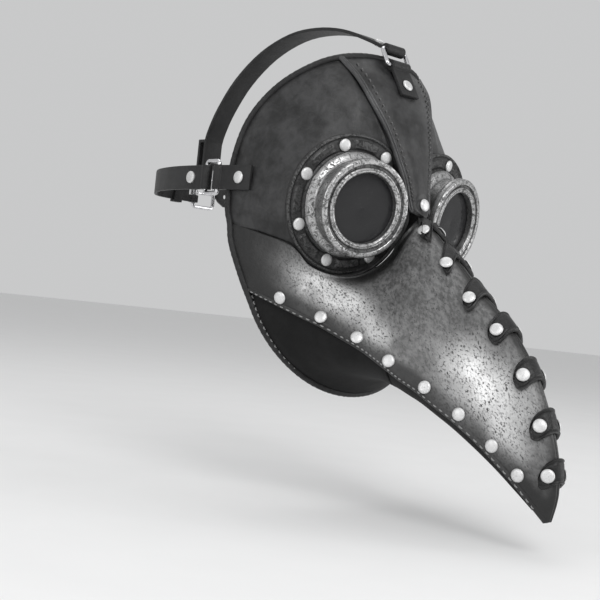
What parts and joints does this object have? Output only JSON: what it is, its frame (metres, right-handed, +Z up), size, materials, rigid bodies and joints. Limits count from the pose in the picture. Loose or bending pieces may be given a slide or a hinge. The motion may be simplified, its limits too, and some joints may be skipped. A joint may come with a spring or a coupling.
{
  "type": "plague doctor mask",
  "caption": "Riveted leather face mask with a long down-curved beak, round goggles with screwed lens rings, and a buckled harness.",
  "frame": {"origin": "centre of the face opening, in the mask's middle plane, level with the goggles' centres", "axes": "+X to the wearer's left, -Y forward along the beak, +Y out of the back of the mask, +Z up"},
  "size_m": [0.1794, 0.3585, 0.3022],
  "materials": {
    "face_leather": "soft satin, grained",
    "beak_leather": "dry-brushed silver over black, grained",
    "dark_leather": "matt, worn edges",
    "goggle_metal": "antique brushed",
    "rivet_metal": "worn satin",
    "hardware": "polished, lightly worn",
    "lens": "dark gloss",
    "thread": "waxed"
  },
  "bodies": {
    "mask": {"forehead_panel": "face_leather", "eye_panel_right": "face_leather", "eye_panel_left": "face_leather", "beak_side_right": "beak_leather", "beak_side_left": "beak_leather", "chin_guard": "dark_leather", "beak_underside": "dark_leather", "edge_binding": "dark_leather", "brow_piping_right": "face_leather", "brow_piping_left": "face_leather", "brow_stitching": "thread", "jaw_stitching": "thread", "ridge_strap_1": "dark_leather", "ridge_strap_2": "dark_leather", "ridge_strap_3": "dark_leather", "ridge_strap_4": "dark_leather", "ridge_strap_5": "dark_leather", "ridge_strap_6": "dark_leather", "ridge_strap_7": "dark_leather", "ridge_rivets": "rivet_metal", "bridge_rivet": "rivet_metal", "jaw_rivets_right": "rivet_metal", "jaw_rivets_left": "rivet_metal", "goggle_flange_right": "dark_leather", "goggle_flange_left": "dark_leather", "flange_rivets_right": "rivet_metal", "flange_rivets_left": "rivet_metal", "goggle_barrel_right": "goggle_metal", "goggle_barrel_left": "goggle_metal", "backing_ring_right": "goggle_metal", "backing_ring_left": "goggle_metal", "temple_tab_right": "dark_leather", "temple_tab_left": "dark_leather", "crown_tab": "dark_leather", "tab_rivets": "rivet_metal"},
    "lens_right": {"lens_right": "lens"},
    "lens_ring_right": {"lens_ring_right": "goggle_metal"},
    "lens_left": {"lens_left": "lens"},
    "lens_ring_left": {"lens_ring_left": "goggle_metal"},
    "temple_ring_right": {"temple_ring_right": "hardware"},
    "temple_ring_left": {"temple_ring_left": "hardware"},
    "crown_ring": {"crown_ring": "hardware"},
    "buckle_strap": {"buckle_strap": "dark_leather", "buckle_strap_rivet": "rivet_metal"},
    "billet_strap": {"billet_strap": "dark_leather", "billet_strap_rivet": "rivet_metal"},
    "crown_strap": {"crown_strap": "dark_leather", "crown_strap_rivet": "rivet_metal"},
    "buckle_frame": {"buckle_frame": "hardware"},
    "buckle_prong": {"buckle_prong": "hardware"},
    "strap_keeper": {"strap_keeper": "dark_leather"}
  },
  "joints": [
    {"name": "lens_slide_right", "type": "slide", "parent": "mask", "child": "lens_right", "axis": [-0.2222, -0.9624, -0.1564], "range_m": [0, 0.0045]},
    {"name": "lens_ring_turn_right", "type": "hinge", "parent": "lens_right", "child": "lens_ring_right", "pos_m": [-0.043, -0.095, 0], "axis": [-0.2222, -0.9624, -0.1564], "range_deg": [0, 1080]},
    {"name": "lens_slide_left", "type": "slide", "parent": "mask", "child": "lens_left", "axis": [0.2222, -0.9624, -0.1564], "range_m": [0, 0.0045]},
    {"name": "lens_ring_turn_left", "type": "hinge", "parent": "lens_left", "child": "lens_ring_left", "pos_m": [0.043, -0.095, 0], "axis": [0.2222, -0.9624, -0.1564], "range_deg": [0, 1080]},
    {"name": "temple_ring_swing_right", "type": "hinge", "parent": "mask", "child": "temple_ring_right", "pos_m": [-0.086, 0.001, 0.014], "axis": [0, 0, 1], "range_deg": [0, 60]},
    {"name": "temple_ring_swing_left", "type": "hinge", "parent": "mask", "child": "temple_ring_left", "pos_m": [0.086, 0.001, 0.014], "axis": [0, 0, -1], "range_deg": [0, 60]},
    {"name": "crown_ring_swing", "type": "hinge", "parent": "mask", "child": "crown_ring", "pos_m": [0, -0.068, 0.099], "axis": [1, 0, 0], "range_deg": [0, 60]},
    {"name": "buckle_strap_swing", "type": "hinge", "parent": "temple_ring_right", "child": "buckle_strap", "pos_m": [-0.08561, 0.01399, 0.014], "axis": [0, 0, 1], "range_deg": [0, 60]},
    {"name": "billet_strap_swing", "type": "hinge", "parent": "temple_ring_left", "child": "billet_strap", "pos_m": [0.08561, 0.01399, 0.014], "axis": [0, 0, -1], "range_deg": [0, 60]},
    {"name": "crown_strap_swing", "type": "hinge", "parent": "crown_ring", "child": "crown_strap", "pos_m": [0, -0.06152, 0.11027], "axis": [1, 0, 0], "range_deg": [0, 60]},
    {"name": "buckle_frame_swing", "type": "hinge", "parent": "buckle_strap", "child": "buckle_frame", "pos_m": [-0.012, 0.124, 0.014], "axis": [0, 0, 1], "range_deg": [0, 70]},
    {"name": "buckle_prong_swing", "type": "hinge", "parent": "buckle_frame", "child": "buckle_prong", "pos_m": [-0.012, 0.124, 0.014], "axis": [0, 0, 1], "range_deg": [0, 40]},
    {"name": "strap_keeper_slide", "type": "slide", "parent": "buckle_strap", "child": "strap_keeper", "axis": [1, 0, 0], "range_m": [0, 0.006]}
  ],
  "couplings": [
    {"joint": "lens_slide_right", "follows": "lens_ring_turn_right", "m_per_rad": 0.00023873},
    {"joint": "lens_slide_left", "follows": "lens_ring_turn_left", "m_per_rad": 0.00023873}
  ]
}
